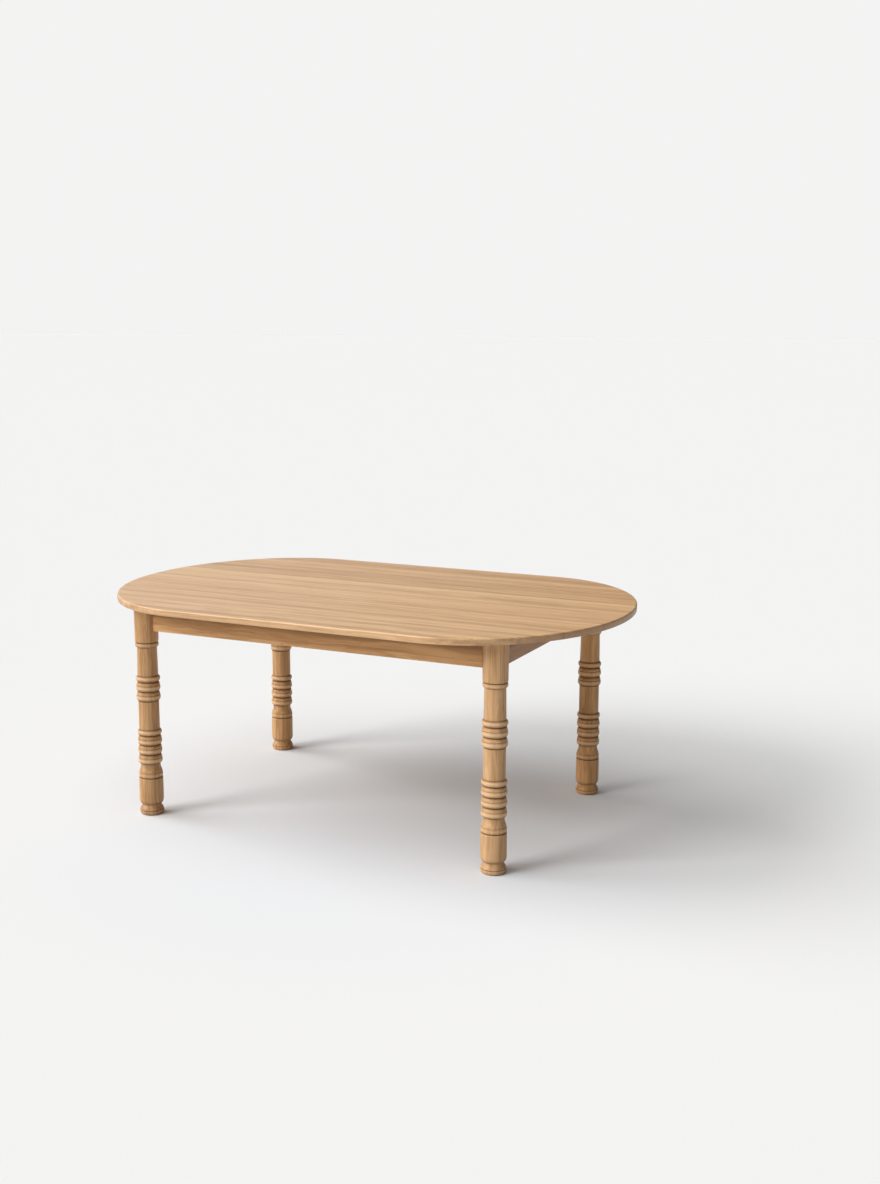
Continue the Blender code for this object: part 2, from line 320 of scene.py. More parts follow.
# %% Timber recipe
GRAIN_TURNS = {"X": (0.0, 0.0, 0.0), "Y": (0.0, 0.0, -math.pi / 2), "Z": (0.0, math.pi / 2, 0.0)}
GRAIN_AXES = {"X": (1.0, 0.0, 0.0), "Y": (0.0, 1.0, 0.0), "Z": (0.0, 0.0, 1.0)}
PALE = (0.710, 0.452, 0.242)
TAN = (0.575, 0.336, 0.164)
BROWN = (0.395, 0.215, 0.094)
PORE = tuple(0.55 * channel for channel in BROWN)
END_GRAIN = (0.300, 0.155, 0.066)
# A dark colour for glue lines and for painted shade in creases, and a pale one for painted highlights.
GLUE_AND_SHADE_DARK = (0.135, 0.060, 0.023)
PAINTED_HIGHLIGHT = (0.800, 0.570, 0.360)
SHIFT_ACROSS = (0.37, -0.61)  # how far a shift along the trunk also moves across it
RING_LINES_PER_MM = 0.55
BUMP_STRENGTH = 0.35
BUMP_DEPTH = 0.00004
COAT_ROUGHNESS = 0.30


def grain_space(r, place, grain, shift, wander):
    """Millimetres in the piece's own grain axes, straight, and bent as the trunk wanders."""
    turn = r.node("ShaderNodeMapping", vector_type="POINT")
    turn.inputs["Rotation"].default_value = GRAIN_TURNS[grain]
    turn.inputs["Scale"].default_value = (1000.0, 1000.0, 1000.0)
    turn.inputs["Location"].default_value = (shift, SHIFT_ACROSS[0] * shift,
                                             SHIFT_ACROSS[1] * shift)
    r.join(place, turn.inputs["Vector"])
    straight = turn.outputs["Vector"]
    drift = r.node("ShaderNodeTexNoise")
    r.join(r.vector("MULTIPLY", straight, (0.009, 0.06, 0.06)), drift.inputs["Vector"])
    drift.inputs["Detail"].default_value = 2.0
    centred = r.vector("SUBTRACT", drift.outputs["Color"], (0.5, 0.5, 0.5))
    sway = r.vector("MULTIPLY", centred, (0.0, 2.6 * wander, 2.6 * wander))
    return straight, r.vector("ADD", straight, sway)


def growth(r, bent, pith, shift, band_mm):
    """Soft tone bands, where we are in a year's ring, and ring lines dark on one side only."""
    heart = (0.0, pith[0] + SHIFT_ACROSS[0] * shift, pith[1] + SHIFT_ACROSS[1] * shift)
    flat = r.node("ShaderNodeVectorMath", operation="LENGTH")
    from_pith = r.vector("SUBTRACT", bent, heart)
    r.join(r.vector("MULTIPLY", from_pith, (0.0, 1.0, 1.0)), flat.inputs[0])
    depth = flat.outputs["Value"]
    bands = r.noise(depth, 1.0 / band_mm, detail=3.0, roughness=0.6, dimensions="1D")
    uneven = r.maths("MULTIPLY", bands, 2.2)
    ring = r.maths("FRACT", r.maths("MULTIPLY_ADD", depth, RING_LINES_PER_MM, uneven))
    late = r.maths("MULTIPLY", r.between(ring, 0.30, 0.97), r.between(ring, 1.0, 0.97))
    return bands, ring, late


def add_end_grain(r, colour, grain, end_dark):
    """End grain drinks more finish, so it is darker where a surface faces along the fibres."""
    facing = r.node("ShaderNodeVectorMath", operation="DOT_PRODUCT")
    r.join(r.node("ShaderNodeTexCoord").outputs["Normal"], facing.inputs[0])
    facing.inputs[1].default_value = GRAIN_AXES[grain]
    along = r.maths("ABSOLUTE", facing.outputs["Value"])
    return r.blend(r.between(along, 0.25, 1.0, 0.0, end_dark), colour, END_GRAIN)


def add_glue_lines(r, colour, place, seams):
    """A hair of darker colour along each seam between boards (seams in mm)."""
    upright = r.node("ShaderNodeSeparateXYZ")
    r.join(place, upright.inputs[0])
    for seam in seams:
        off = r.maths("MULTIPLY_ADD", upright.outputs["Y"], 1000.0, -seam)
        hair = r.between(r.maths("ABSOLUTE", off), 0.24, 0.06, 0.0, 0.5)
        colour = r.blend(hair, colour, GLUE_AND_SHADE_DARK)
    return colour


def add_painted_light(r, colour, painted_light):
    """Painted shade in creases and undersides, painted highlights on crests and arrises."""
    # Painted shade where the attribute is below zero, painted highlight where it is above.
    colour = r.blend(r.between(painted_light, 0.0, -1.0, 0.0, 0.80), colour, GLUE_AND_SHADE_DARK)
    return r.blend(r.between(painted_light, 0.2, 1.0, 0.0, 0.5), colour, PAINTED_HIGHLIGHT)


def timber(name, grain, pith, shift, tint, band_mm, gloss=0.44, shine=0.55, coat=0.2,
           contrast=1.0, wander=1.4, fine=1.0, end_dark=0.6, seams=(), lathe=False):
    """A wood material. pith is where the heart of the tree lies, in mm across the grain."""
    r = Recipe(name)
    place = r.node("ShaderNodeTexCoord").outputs["Object"]
    straight, bent = grain_space(r, place, grain, shift, wander)
    bands, ring, late = growth(r, bent, pith, shift, band_mm)

    # Fibres and pores are long and thin: noise that is stretched along the grain.
    long_thin = r.vector("MULTIPLY", bent, (0.009, 0.6 * fine, 0.6 * fine))
    streaks = r.noise(long_thin, 1.0, 3.0, 0.6)
    fibres = r.noise(r.vector("MULTIPLY", straight, (0.05, 3.2, 3.2)), 1.0, 2.5, 0.6)
    dashes = r.noise(r.vector("MULTIPLY", straight, (0.32, 7.0, 7.0)), 1.0, 1.5, 0.5)
    in_early_wood = r.between(ring, 0.75, 0.15, 0.25, 1.0)
    pores = r.maths("MULTIPLY", r.between(dashes, 0.60, 0.74), in_early_wood)

    tone = r.maths("MULTIPLY_ADD", streaks, 0.6, r.maths("MULTIPLY", bands, 0.4))
    tone = r.between(tone, 0.5 - 0.24 / contrast, 0.5 + 0.22 / contrast)
    colour = r.blend(r.between(tone, 0.0, 0.6), BROWN, TAN)
    colour = r.blend(r.between(tone, 0.30, 1.0), colour, PALE)
    colour = r.blend(r.maths("MULTIPLY", late, 0.24 * contrast), colour, BROWN)
    colour = r.blend(r.between(fibres, 0.45, 0.75, 0.0, 0.34 * contrast), colour, BROWN)
    colour = r.blend(r.between(fibres, 0.50, 0.28, 0.0, 0.26 * contrast), colour, PALE)
    colour = r.blend(r.maths("MULTIPLY", pores, 0.45), colour, PORE)
    colour = r.blend(1.0, colour, tint, "MULTIPLY")
    colour = add_end_grain(r, colour, grain, end_dark)
    if seams:
        colour = add_glue_lines(r, colour, place, seams)
    # An attribute on the mesh says where shade and highlights are painted.
    painted_light = r.node("ShaderNodeAttribute", attribute_name="painted_light").outputs["Fac"]
    colour = add_painted_light(r, colour, painted_light)

    # Fibres stand a little proud and pores are grooves. A lathe adds fine marks round a leg.
    height = r.maths("MULTIPLY_ADD", fibres, 0.5, r.maths("MULTIPLY", pores, -0.9))
    if lathe:
        up_the_leg = r.node("ShaderNodeSeparateXYZ")
        r.join(straight, up_the_leg.inputs[0])
        marks = r.noise(up_the_leg.outputs["X"], 5.0, 3.0, 0.6, "1D")
        colour = r.blend(r.between(marks, 0.45, 0.75, 0.0, 0.10), colour, BROWN)
        height = r.maths("MULTIPLY_ADD", marks, 0.6, height)
    bump = r.node("ShaderNodeBump")
    bump.inputs["Strength"].default_value = BUMP_STRENGTH
    bump.inputs["Distance"].default_value = BUMP_DEPTH
    r.join(height, bump.inputs["Height"])

    rough = r.maths("MULTIPLY_ADD", fibres, 0.16, r.maths("MULTIPLY_ADD", pores, 0.2, gloss - 0.08))
    rough = r.maths("MULTIPLY_ADD", painted_light, -0.10, rough, clamp=True)
    r.join(colour, r.shader.inputs["Base Color"])
    r.join(rough, r.shader.inputs["Roughness"])
    r.join(bump.outputs["Normal"], r.shader.inputs["Normal"])
    r.shader.inputs["Coat Weight"].default_value = coat
    r.shader.inputs["Coat Roughness"].default_value = COAT_ROUGHNESS
    r.shader.inputs["Specular IOR Level"].default_value = shine
    return r.material


print("tones from dark to light:", BROWN, TAN, PALE)

# %% [markdown]
# # Helpers for meshes
#
# Every piece here is a closed skin through rings of points, so one `skin` helper serves the
# boards, the legs, the rails and the pins. It could be done with modifiers on a cube, but a
# real outline point for point gives clean edges where light catches them.
#
# A vertex attribute goes on each ring, or on each of its points, and says where light is
# painted: 1 for a painted highlight on a crest or an arris, -1 for painted shade in a crease,
# under a bead or under the top.

# %% Mesh helpers
SMOOTH_ANGLE = math.radians(32)


def publish(name, mesh, material, node=None):
    """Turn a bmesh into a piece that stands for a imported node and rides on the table."""
    bmesh.ops.recalc_face_normals(mesh, faces=mesh.faces)
    data = bpy.data.meshes.new(name)
    mesh.to_mesh(data)
    mesh.free()
    data.shade_smooth()
    data.set_sharp_from_angle(angle=SMOOTH_ANGLE)
    for one in material if isinstance(material, (list, tuple)) else (material,):
        data.materials.append(one)
    piece = bpy.data.objects.new(name, data)
    bpy.context.scene.collection.objects.link(piece)
    if node:
        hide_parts(node)
        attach(piece, "root")
    return piece


def skin(mesh, rings, painted_lights=None):
    """Close a surface through rings of matching points, lowest first, with flat ends.

    Painted light comes as one entry for each ring: a number for the ring, or a list for its points.
    """
    layer = mesh.verts.layers.float.get("painted_light") or mesh.verts.layers.float.new("painted_light")
    loops = []
    for index, ring in enumerate(rings):
        loop = [mesh.verts.new(point) for point in ring]
        given = painted_lights[index] if painted_lights else 0.0
        for k, vert in enumerate(loop):
            vert[layer] = given[k] if isinstance(given, list) else given
        loops.append(loop)
    for below, above in zip(loops, loops[1:]):
        for i in range(len(below)):
            j = (i + 1) % len(below)
            mesh.faces.new((below[i], below[j], above[j], above[i]))
    low = mesh.faces.new(list(reversed(loops[0])))
    high = mesh.faces.new(loops[-1])
    return low, high


def cutter(name, rings):
    """A hidden tool for a Boolean."""
    mesh = bmesh.new()
    skin(mesh, rings)
    tool = publish(name, mesh, ())
    tool.hide_render = True
    return tool


def box_rings(low, high):
    corners = ((low[0], low[1]), (high[0], low[1]), (high[0], high[1]), (low[0], high[1]))
    return [[(x, y, z) for x, y in corners] for z in (low[2], high[2])]


def round_rings(centre, radius, z_low, z_high, sides=48):
    """Two rings of a plain cylinder."""
    around = [math.tau * k / sides for k in range(sides)]
    return [[(centre[0] + radius * math.cos(a), centre[1] + radius * math.sin(a), z)
             for a in around] for z in (z_low, z_high)]


def cut(piece, tools, operation="DIFFERENCE"):
    """Apply Booleans to a piece, then throw the tools away."""
    bpy.context.view_layer.objects.active = piece
    for tool in tools:
        modifier = piece.modifiers.new("cut", "BOOLEAN")
        modifier.operation = operation
        modifier.object = tool
        modifier.solver = "EXACT"
        with bpy.context.temp_override(object=piece, active_object=piece):
            bpy.ops.object.modifier_apply(modifier=modifier.name)
        bpy.data.objects.remove(tool, do_unlink=True)
    piece.data.shade_smooth()
    piece.data.set_sharp_from_angle(angle=SMOOTH_ANGLE)


CORNERS = ("front_left", "front_right", "back_left", "back_right")


def middle(node):
    low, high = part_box(node)
    return (low + high) / 2


HAIR = 0.00001  # glued faces stay this far apart, half on each side
pin_place = {corner: middle("pin_" + corner) for corner in CORNERS}
pin_low, pin_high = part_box("pin_front_left")
pin_radius = (pin_high.y - pin_low.y) / 2
top_low, top_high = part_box("top_board_1")
print("pin radius, mm:", round(1000 * pin_radius, 3))

# %% [markdown]
# # The top
#
# Six boards are planed, glued edge to edge and only then cut to the racetrack outline, so the
# seams run straight through the curve. The outline is two straight sides and two half
# ellipses. The upper edge is rounded with sandpaper, and the lower one only broken.
#
# Each board is its own piece with its own heart of the tree, so the lines never run on from
# one board to the next. That is what makes a glued top look glued.

# %% Tabletop boards
BOARDS = 6
END_DEPTH = 0.0385
TOP_ARRIS = 0.0004
UNDER_ARRIS = 0.0002
SEAM_CHAMFER = 0.00003
QUARTER_STEPS = 72
half_length = packed_high.x
half_width = packed_high.y


def board_levels():
    """Heights of a board's edge with how far the edge is drawn in there, and its painted light:
    painted shade on the lower arris and the upright edge, a painted highlight on the top arris.
    """
    levels = []
    # Painted shade on the lower arris and the upright edge.
    for k in range(5):
        angle = math.pi / 2 * k / 4
        levels.append((top_low.z + UNDER_ARRIS * (1 - math.cos(angle)),
                       UNDER_ARRIS * (1 - math.sin(angle)), -0.75 + 0.45 * math.sin(angle)))
    # Painted highlight on the top arris, painted shade on the upright edge below it.
    for k in range(11):
        angle = math.pi / 2 * k / 10
        levels.append((top_high.z - TOP_ARRIS * (1 - math.sin(angle)),
                       TOP_ARRIS * (1 - math.cos(angle)),
                       0.35 * math.sin(2 * angle) ** 3 - 0.3 * math.cos(angle) ** 3))
    flat = (top_high.z, TOP_ARRIS + 0.0004, 0.0)
    under_flat = (top_low.z, UNDER_ARRIS + 0.0004, 0.0)
    return [under_flat, *levels, flat]


def board_ring(z, inset, y_low, y_high, steps):
    straight = half_length - END_DEPTH
    reach = half_width - inset
    chamfer = max(0.0, SEAM_CHAMFER - (top_high.z - z), SEAM_CHAMFER - (z - top_low.z))
    low = math.asin(max(-1.0, (y_low + chamfer) / reach))
    high = math.asin(min(1.0, (y_high - chamfer) / reach))
    right = []
    for k in range(steps + 1):
        angle = low + (high - low) * k / steps
        right.append((straight + (END_DEPTH - inset) * math.cos(angle),
                      reach * math.sin(angle), z))
    return right + [(-x, y, z) for x, y, z in reversed(right)]


def make_board(number, y_low, y_high, materials):
    share = math.asin(min(1.0, y_high / half_width)) - math.asin(max(-1.0, y_low / half_width))
    steps = max(8, round(share / (math.pi / 2) * QUARTER_STEPS))
    levels = board_levels()
    mesh = bmesh.new()
    rings = [board_ring(z, inset, y_low, y_high, steps) for z, inset, _ in levels]
    low_face, _ = skin(mesh, rings, [painted_light for _, _, painted_light in levels])
    low_face.material_index = 1
    board = publish(f"board_{number}", mesh, materials, f"top_board_{number}")
    hole_high = pin_high.z + HAIR
    holes = [cutter("hole", round_rings(place, pin_radius + HAIR, top_low.z - 0.001, hole_high))
             for place in pin_place.values() if y_low < place.y < y_high]
    cut(board, holes)
    return board


# Each board: pith across the grain (y, z in mm), where along the trunk it was cut, and tint.
BOARD_TIMBER = (
    ((-85.0, -18.0), 310.0, (1.09, 1.10, 1.07)),
    ((-70.0, -30.0), 95.0, (1.07, 1.07, 1.02)),
    ((58.0, -24.0), 530.0, (1.09, 1.09, 1.06)),
    ((-64.0, -35.0), 770.0, (1.09, 1.10, 1.05)),
    ((90.0, -28.0), 150.0, (0.99, 0.98, 0.90)),
    ((-40.0, -42.0), 640.0, (1.03, 1.02, 0.97)),
)
seams = [-half_width - HAIR]
for number in range(1, BOARDS):
    seams.append((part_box(f"top_board_{number}")[1].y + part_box(f"top_board_{number + 1}")[0].y) / 2)
seams.append(half_width + HAIR)
for number, (pith, shift, tint) in enumerate(BOARD_TIMBER, start=1):
    glued = [1000 * y for y in seams[number - 1:number + 1] if abs(y) < half_width]
    faces = timber(f"board_{number}_face", "X", pith, shift, tint, band_mm=5.0, fine=1.5,
                   wander=1.0, contrast=0.9, seams=glued)
    under = timber(f"board_{number}_under", "X", pith, shift, tuple(0.9 * t for t in tint),
                   band_mm=5.0, fine=1.5, wander=1.0, gloss=0.62, coat=0.0)
    make_board(number, seams[number - 1] + HAIR / 2, seams[number] - HAIR / 2, (faces, under))
print("board seams, mm:", [round(1000 * y, 1) for y in seams])

# %% [markdown]
# # The legs
#
# A leg is turned from one stick: a plain round block where the rails join, a collar, a neck,
# three rings, a shaft, four rings, a cove, a drum and a bell foot. The outline below goes
# from the floor up, the way a turner would mark out a stick, and every detail is a bead, a
# flare or a hollow. The neck and the shaft share whatever height the details leave.
#
# A Screw modifier could spin the outline. Building the rings directly lets each point keep
# its painted light: painted shade in the creases and under the beads, and a painted highlight
# on the crests.

# %% Leg outline
LEG_SIDES = 96
FOOT_REST_R = 0.00275
FOOT_R = 0.00335
FOOT_HEIGHT = 0.0031
ANKLE_R = 0.0027
DRUM_R = 0.003375
DRUM_HEIGHT = 0.0077
DRUM_SHOULDER = 0.0014
DRUM_BEAD_R = 0.00335
DRUM_BEAD_HEIGHT = 0.0015
COVE_R = 0.00275
COVE_HEIGHT = 0.0025
RING_R = 0.003375
RING_VALLEY_R = 0.00275
RING_LINE_R = 0.00318
RING_PITCH = 0.00275
RING_HEIGHT = 0.0017
RING_ABOVE_CREST = 0.00075
LOWER_RINGS = 4
UPPER_RINGS = 3
SHAFT_R = 0.002875
NECK_R = 0.00275
COLLAR_R = 0.00325
COLLAR_HEIGHT = 0.0014
GROOVE = 0.00022
NICK = 0.00004  # a step too small to see, which keeps two curves apart
BEAD_RISE = 0.00065  # from the foot of a bead to its widest place
CENTRE_MARK_R = 0.0004
CENTRE_MARK_DEPTH = 0.0005
FOOT_BEAD_HEIGHT = 0.00095
FOOT_SCORE_LOW = 0.0012
SCORE_DEPTH = 0.00016
BLOCK_R = 0.00335
BLOCK_TAPER = 0.0001
BLOCK_BELOW_APRON = 0.0034
leg_top = top_low.z - HAIR
apron_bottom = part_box("apron_front")[0].z


class Outline:
    """A turned outline, drawn from the floor up as (radius, height, painted light)."""

    def __init__(self):
        self.points = []

    def to(self, radius, z, painted_light=0.0):
        self.points.append((radius, z, painted_light))

    def line(self, radius, z, steps=1, painted_light=0.0):
        start_r, start_z, _ = self.points[-1]
        for k in range(1, steps + 1):
            share = k / steps
            self.to(start_r + (radius - start_r) * share, start_z + (z - start_z) * share, painted_light)

    def swell(self, radius, z, steps=8, crest=0.0, foot=0.0, ease=1.0):
        """A quarter ellipse that leaves sideways and arrives upright. The underside of a
        bead gets painted shade."""
        start_r, start_z, _ = self.points[-1]
        for k in range(1, steps + 1):
            angle = math.pi / 2 * k / steps
            self.to(start_r + (radius - start_r) * math.sin(angle) ** ease,
                    z + (start_z - z) * math.cos(angle),
                    foot + (crest - foot) * (1 - math.cos(angle)) ** 1.5)

    def fall(self, radius, z, steps=8, crest=0.0, foot=0.0, ease=1.0):
        """A quarter ellipse that leaves upright and arrives sideways."""
        start_r, start_z, _ = self.points[-1]
        for k in range(1, steps + 1):
            angle = math.pi / 2 * k / steps
            self.to(radius + (start_r - radius) * math.cos(angle) ** ease,
                    start_z + (z - start_z) * math.sin(angle),
                    foot + (crest - foot) * math.cos(angle))

    def ogee(self, radius, z, steps=12, painted_light=0.0):
        """An S curve, upright at both ends."""
        start_r, start_z, _ = self.points[-1]
        for k in range(1, steps + 1):
            share = k / steps
            ease = share * share * (3 - 2 * share)
            self.to(start_r + (radius - start_r) * ease, start_z + (z - start_z) * share, painted_light)


def add_ring(out, z_low, plain_above):
    """One turned ring: a bead, then the flare that springs out of the next valley."""
    z_crest = z_low + RING_HEIGHT - RING_ABOVE_CREST
    out.to(RING_VALLEY_R, z_low, -0.9)
    out.to(RING_VALLEY_R + 0.00002, z_low + 0.00008, -0.9)
    out.swell(RING_R, z_crest, 12, crest=1.0, foot=-0.8, ease=1.35)
    top = RING_VALLEY_R if plain_above else RING_LINE_R
    out.fall(top, z_low + RING_HEIGHT, 10, crest=1.0, foot=-0.6)
    if not plain_above:
        out.to(RING_LINE_R - 0.00002, z_low + RING_HEIGHT + 0.00003, -0.7)
        out.to(RING_LINE_R + 0.00006, z_low + RING_HEIGHT + 0.00009, 0.2)
        out.fall(RING_VALLEY_R + 0.00002, z_low + RING_PITCH - NICK, 14, crest=0.35,
                 foot=-0.7, ease=1.2)


def leg_outline():
    upper_height = (UPPER_RINGS - 1) * RING_PITCH + RING_HEIGHT
    lower_height = (LOWER_RINGS - 1) * RING_PITCH + RING_HEIGHT
    drum_high = FOOT_HEIGHT + DRUM_HEIGHT
    bead_high = drum_high + DRUM_BEAD_HEIGHT
    cove_high = bead_high + COVE_HEIGHT
    shaft_low = cove_high + lower_height
    block_low = apron_bottom - BLOCK_BELOW_APRON
    collar_low = block_low - COLLAR_HEIGHT
    plain = (collar_low - shaft_low - upper_height) / 2
    upper_low = shaft_low + plain
    neck_low = upper_low + upper_height
    out = Outline()
    # Bell foot, with the mark that the lathe's centre left in the middle of its rest.
    out.to(0.00001, CENTRE_MARK_DEPTH, -0.6)
    out.to(CENTRE_MARK_R, 0.0, -0.2)
    out.line(FOOT_REST_R - 0.0002, 0.0, 4)
    out.line(FOOT_REST_R, 0.00002, 1, -0.3)
    out.swell(FOOT_R, FOOT_BEAD_HEIGHT, 12, crest=0.5, foot=-0.2)
    out.line(FOOT_R - 0.00002, FOOT_SCORE_LOW, 2, 0.3)
    out.to(FOOT_R - SCORE_DEPTH, FOOT_SCORE_LOW + 0.00007, -0.9)
    out.to(FOOT_R - SCORE_DEPTH, FOOT_SCORE_LOW + 0.00013, -0.9)
    out.to(FOOT_R - SCORE_DEPTH / 2, FOOT_SCORE_LOW + 0.00020, 0.3)
    out.ogee(ANKLE_R, FOOT_HEIGHT - 0.0003, 14)
    out.line(ANKLE_R, FOOT_HEIGHT - NICK, 1, -0.5)
    # Drum.
    out.to(ANKLE_R + 0.00006, FOOT_HEIGHT, -0.9)
    out.swell(DRUM_R, FOOT_HEIGHT + DRUM_SHOULDER, 14, crest=0.15, foot=-0.5)
    out.line(DRUM_R, drum_high - 0.00035, 10)
    out.fall(DRUM_R - GROOVE, drum_high - 0.00006, 6, crest=0.5, foot=-0.9)
    # Bead and cove.
    out.to(DRUM_R - GROOVE - 0.0001, drum_high, -1.0)
    out.swell(DRUM_BEAD_R, drum_high + BEAD_RISE, 8, crest=0.6, foot=-0.8)
    out.fall(DRUM_BEAD_R - 0.00012, bead_high - NICK, 8, crest=0.6, foot=-0.3)
    out.to(DRUM_BEAD_R - 0.0002, bead_high, -0.45)
    out.to(DRUM_BEAD_R - 0.00014, bead_high + 0.00008, 0.2)
    out.ogee(COVE_R, cove_high - 0.0007, 14)
    out.line(COVE_R, cove_high - NICK, 3, -0.2)
    # Lower rings, shaft, upper rings, neck.
    for k in range(LOWER_RINGS):
        add_ring(out, cove_high + k * RING_PITCH, k == LOWER_RINGS - 1)
    out.to(SHAFT_R, shaft_low + 0.00005, -0.6)
    out.line(SHAFT_R, upper_low - 0.00005, 16)
    for k in range(UPPER_RINGS):
        add_ring(out, upper_low + k * RING_PITCH, k == UPPER_RINGS - 1)
    out.to(SHAFT_R, neck_low + 0.00005, -0.6)
    out.line(NECK_R, collar_low - NICK, 16)
    # Collar, groove and block.
    out.to(NECK_R + 0.00005, collar_low, -0.9)
    out.swell(COLLAR_R, collar_low + BEAD_RISE, 8, crest=0.7, foot=-0.6)
    out.fall(COLLAR_R - GROOVE, block_low - 0.00012, 8, crest=0.7, foot=-0.8)
    out.to(COLLAR_R - GROOVE - 0.00008, block_low - 0.00005, -1.0)
    out.swell(BLOCK_R - BLOCK_TAPER, block_low + 0.00045, 8, crest=0.3, foot=-0.7)
    out.line(BLOCK_R, leg_top - 0.0001, 40)
    out.to(BLOCK_R - 0.0001, leg_top)
    out.line(pin_radius + 0.0006, leg_top, 2)
    return out.points


outline = leg_outline()
print("points in the leg's outline:", len(outline))

# %% [markdown]
# ## Turning and mortising the legs
#
# All four legs follow the same outline, but each stick has its own grain, so each gets its
# own timber. The mortises and the pin hole are cut after turning, as at the bench. Their
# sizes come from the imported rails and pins.

# %% Legs
APRON_OF = {"front": "apron_front", "back": "apron_back", "left": "apron_left",
            "right": "apron_right"}
TENON_THICKNESS = 0.0010
TENON_SHOULDER = 0.0010
LEG_TIMBER = {
    "front_left": ((46.0, -39.0), 40.0, 0.15, (0.84, 0.81, 0.76)),
    "front_right": ((-48.0, 37.0), 260.0, 1.1, (0.92, 0.91, 0.89)),
    "back_left": ((39.0, 45.0), 410.0, 2.3, (0.90, 0.85, 0.77)),
    "back_right": ((-35.0, -50.0), 600.0, 3.0, (0.98, 0.91, 0.80)),
}


def leg_axis(corner):
    place = pin_place[corner]
    return place.x, place.y


def tenon_box(side):
    """Low and high corners of the bar that makes both tenons of a rail."""
    low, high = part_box(APRON_OF[side])
    centre = (low + high) / 2
    low_z = low.z + TENON_SHOULDER
    high_z = high.z - TENON_SHOULDER
    half = TENON_THICKNESS / 2
    if side in ("front", "back"):
        return (low.x, centre.y - half, low_z), (high.x, centre.y + half, high_z)
    return (centre.x - half, low.y, low_z), (centre.x + half, high.y, high_z)


def grown(corners, by):
    low, high = corners
    return tuple(v - by for v in low), tuple(v + by for v in high)


def make_leg(corner):
    pith, shift, spin, tint = LEG_TIMBER[corner]
    x, y = leg_axis(corner)
    around = [spin + math.tau * k / LEG_SIDES for k in range(LEG_SIDES)]
    rings = [[(x + radius * math.cos(a), y + radius * math.sin(a), z) for a in around]
             for radius, z, _ in outline]
    mesh = bmesh.new()
    skin(mesh, rings, [painted_light for _, _, painted_light in outline])
    stick = timber("leg_" + corner, "Z", pith, shift, tint, band_mm=3.0, contrast=0.9,
                   gloss=0.42, shine=0.20, coat=0.0, fine=2.2, lathe=True)
    leg = publish("turned_leg_" + corner, mesh, stick, "leg_" + corner)
    y_side, x_side = corner.split("_")
    tools = [cutter("mortise", box_rings(*grown(tenon_box(side), HAIR)))
             for side in (y_side, x_side)]
    hole_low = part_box("pin_" + corner)[0].z - HAIR
    tools.append(cutter("hole", round_rings((x, y), pin_radius + HAIR, hole_low, leg_top + 0.001)))
    cut(leg, tools)
    return leg


for corner in CORNERS:
    leg = make_leg(corner)
    print(leg.name, "faces:", len(leg.data.polygons))

# %% [markdown]
# # The rails
#
# A rail, or apron, is a thin plain board with a stub tenon on each end. Its long edges are
# broken with sandpaper. A square end could only touch a round leg along one line, and would
# leave a gap at the face, so each shoulder is coped: hollowed until it fits the leg.
#
# A rail gets painted shadow just under the top, which overhangs it. Its painted light says so.

# %% Rails
RAIL_ARRIS = 0.00016
# Painted shadow under the top: how far below the rail's upper edge, and the painted light there.
RAIL_PAINTED_SHADOW = ((0.0008, -0.7), (0.0018, -0.62), (0.0026, -0.55), (0.0033, -0.3), (0.0042, 0.0))
RAIL_TIMBER = {
    "front": ((25.0, 60.0), 120.0, (1.06, 0.99, 0.87)),
    "back": ((-20.0, 65.0), 350.0, (1.00, 0.93, 0.84)),
    "left": ((30.0, 30.0), 480.0, (0.84, 0.76, 0.68)),
    # The right rail is tinted far darker: painted shade on the end rail turned away from the lamps.
    "right": ((-30.0, 42.0), 700.0, (0.52, 0.43, 0.34)),
}


def rail_section(half_depth, z_low, z_high, steps=5):
    """A rail's cross-section, its four long edges rounded, as (across, height, painted light)."""
    # Painted shadow of the top on the faces just below the rail's upper edge.
    painted_shadow = [(z_high - below, painted_light) for below, painted_light in RAIL_PAINTED_SHADOW]
    points = []
    for across, z, start in ((half_depth, z_low, -90), (half_depth, z_high, 0),
                             (-half_depth, z_high, 90), (-half_depth, z_low, 180)):
        centre_across = across - math.copysign(RAIL_ARRIS, across)
        centre_z = z + RAIL_ARRIS if z == z_low else z - RAIL_ARRIS
        # The upper arrises get painted shadow from the top.
        for k in range(steps + 1):
            angle = math.radians(start + 90 * k / steps)
            points.append((centre_across + RAIL_ARRIS * math.cos(angle),
                           centre_z + RAIL_ARRIS * math.sin(angle),
                           0.0 if z == z_low else -0.7))
        if start == -90:
            points += [(half_depth, height, painted_light) for height, painted_light in reversed(painted_shadow)]
        elif start == 90:
            points += [(-half_depth, height, painted_light) for height, painted_light in painted_shadow]
    return points


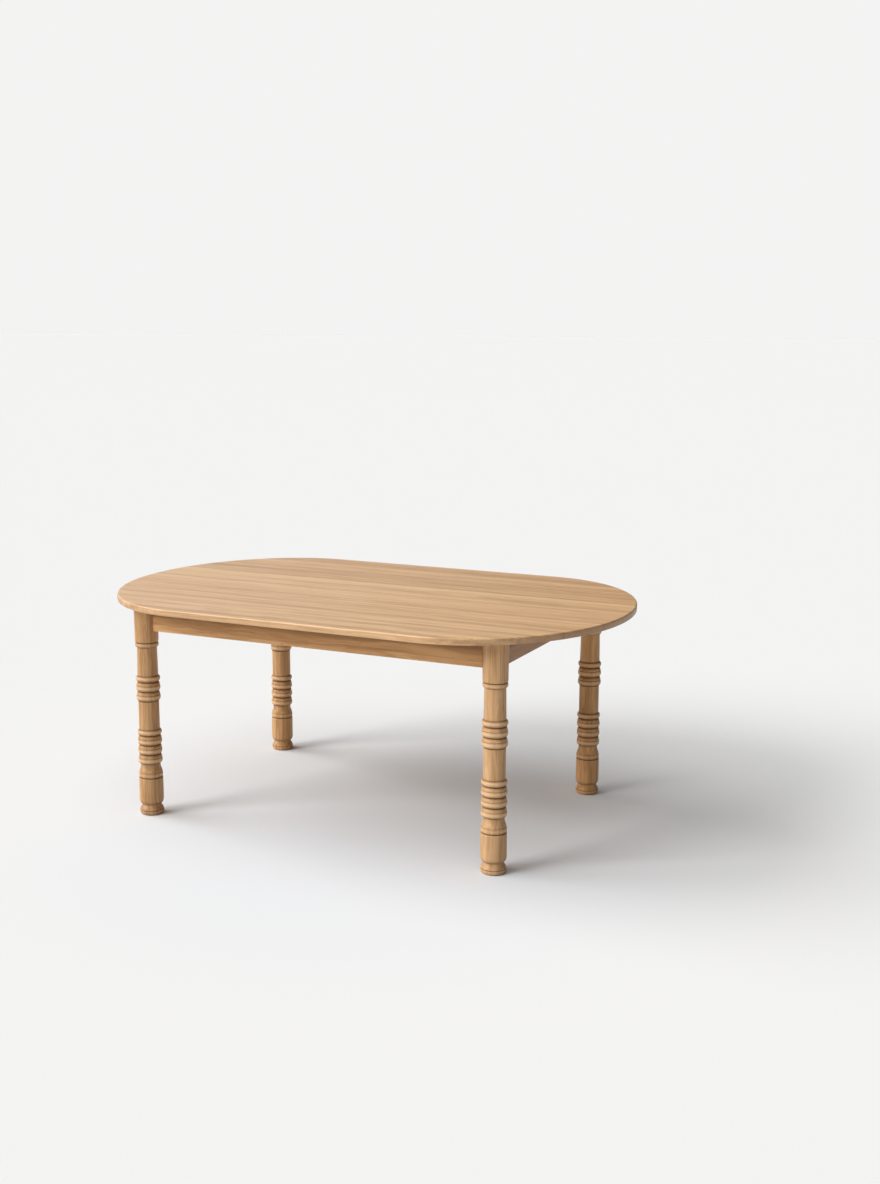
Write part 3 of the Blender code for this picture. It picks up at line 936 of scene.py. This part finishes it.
def make_rail(side):
    low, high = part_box(APRON_OF[side])
    centre = (low + high) / 2
    lengthwise = side in ("front", "back")
    half_depth = ((high.y - low.y) if lengthwise else (high.x - low.x)) / 2
    cope = BLOCK_R + HAIR
    leg_x, leg_y = leg_axis("front_right")
    half = (leg_x if lengthwise else abs(leg_y)) - math.sqrt(cope ** 2 - half_depth ** 2)
    section = rail_section(half_depth, low.z, leg_top)
    rings = []
    for end in (-half, half):
        if lengthwise:
            rings.append([(end, centre.y + across, z) for across, z, _ in section])
        else:
            rings.append([(centre.x + across, end, z) for across, z, _ in section])
    mesh = bmesh.new()
    skin(mesh, rings, [[painted_light for _, _, painted_light in section]] * 2)
    pith, shift, tint = RAIL_TIMBER[side]
    stick = timber("rail_" + side, "X" if lengthwise else "Y", pith, shift, tint, band_mm=3.5,
                   gloss=0.46, shine=0.25, coat=0.0)
    rail = publish("rail_" + side, mesh, stick, APRON_OF[side])
    cut(rail, [cutter("cope", round_rings(leg_axis(corner), cope, low.z - 0.001, leg_top + 0.001))
               for corner in CORNERS if side in corner])
    cut(rail, [cutter("tenons", box_rings(*tenon_box(side)))], "UNION")
    return rail


for side in APRON_OF:
    print(make_rail(side).name)

# %% [markdown]
# # Blocks behind the rails
#
# Turn a dolls house table over and you find offcuts: a block across each corner and small
# blocks rubbed into the angle under the top. They are sawn, not planed, and never polished.
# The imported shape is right, so each block is that shape in raw timber, closed up to what it is
# glued to, with its edges broken.

# %% Glue blocks
BLOCK_ARRIS = 0.00015
GLUE_REACH = 0.0004  # a block's face this near to a rail or the top is closed up to it
rail_inside = (abs(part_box("apron_left")[1].x), abs(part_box("apron_front")[1].y))


def seat(mesh):
    """Close a block up to the rails and the top that it is glued to."""
    for vert in mesh.verts:
        for axis, face in enumerate(rail_inside):
            if 0.0 < face - abs(vert.co[axis]) < GLUE_REACH:
                vert.co[axis] = math.copysign(face - HAIR, vert.co[axis])
        if 0.0 < top_low.z - vert.co.z < GLUE_REACH:
            vert.co.z = leg_top


def make_block(node, number):
    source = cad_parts[node]
    mesh = bmesh.new()
    mesh.from_mesh(source.data)
    bmesh.ops.remove_doubles(mesh, verts=mesh.verts, dist=0.00001)
    bmesh.ops.dissolve_limit(mesh, angle_limit=0.01, verts=mesh.verts, edges=mesh.edges)
    seat(mesh)
    bmesh.ops.bevel(mesh, geom=mesh.edges[:], offset=BLOCK_ARRIS, segments=2, profile=0.6,
                    affect="EDGES")
    tint = (0.98 - 0.02 * (number % 3), 0.97 - 0.02 * (number % 2), 0.94)
    raw = timber("raw_" + node, "X" if number % 2 else "Y", (12.0, 25.0), 90.0 * number, tint,
                 band_mm=3.0, gloss=0.68, coat=0.0)
    return publish("offcut_" + node, mesh, raw, node)


block_nodes = [name for name in sorted(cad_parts) if "block" in name]
for number, node in enumerate(block_nodes):
    make_block(node, number)
print("blocks:", len(block_nodes))

# %% [markdown]
# # Pins
#
# A pin keeps each leg in place under the top. Shop-bought pins are fluted so that glue can
# creep along them, and chamfered so that they start easily. They are out of sight, but a
# table that comes apart on the bench should have them.

# %% Leg pins
FLUTES = 12
FLUTE_DEPTH = 0.00006
PIN_CHAMFER = 0.00025


def make_pin(corner):
    low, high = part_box("pin_" + corner)
    x, y = leg_axis(corner)
    sides = FLUTES * 8
    levels = ((low.z, PIN_CHAMFER), (low.z + PIN_CHAMFER, 0.0),
              (high.z - PIN_CHAMFER, 0.0), (high.z, PIN_CHAMFER))
    rings = []
    for z, inset in levels:
        ring = []
        for k in range(sides):
            angle = math.tau * k / sides
            flute = FLUTE_DEPTH * max(0.0, math.cos(angle * FLUTES)) ** 2
            radius = pin_radius - inset - flute
            ring.append((x + radius * math.cos(angle), y + radius * math.sin(angle), z))
        rings.append(ring)
    mesh = bmesh.new()
    skin(mesh, rings)
    beech = timber("dowel_" + corner, "Z", (4.0, 9.0), 33.0, (1.05, 1.06, 1.08), band_mm=2.0,
                   gloss=0.6, coat=0.0)
    return publish("dowel_" + corner, mesh, beech, "pin_" + corner)


for corner in CORNERS:
    print(make_pin(corner).name)
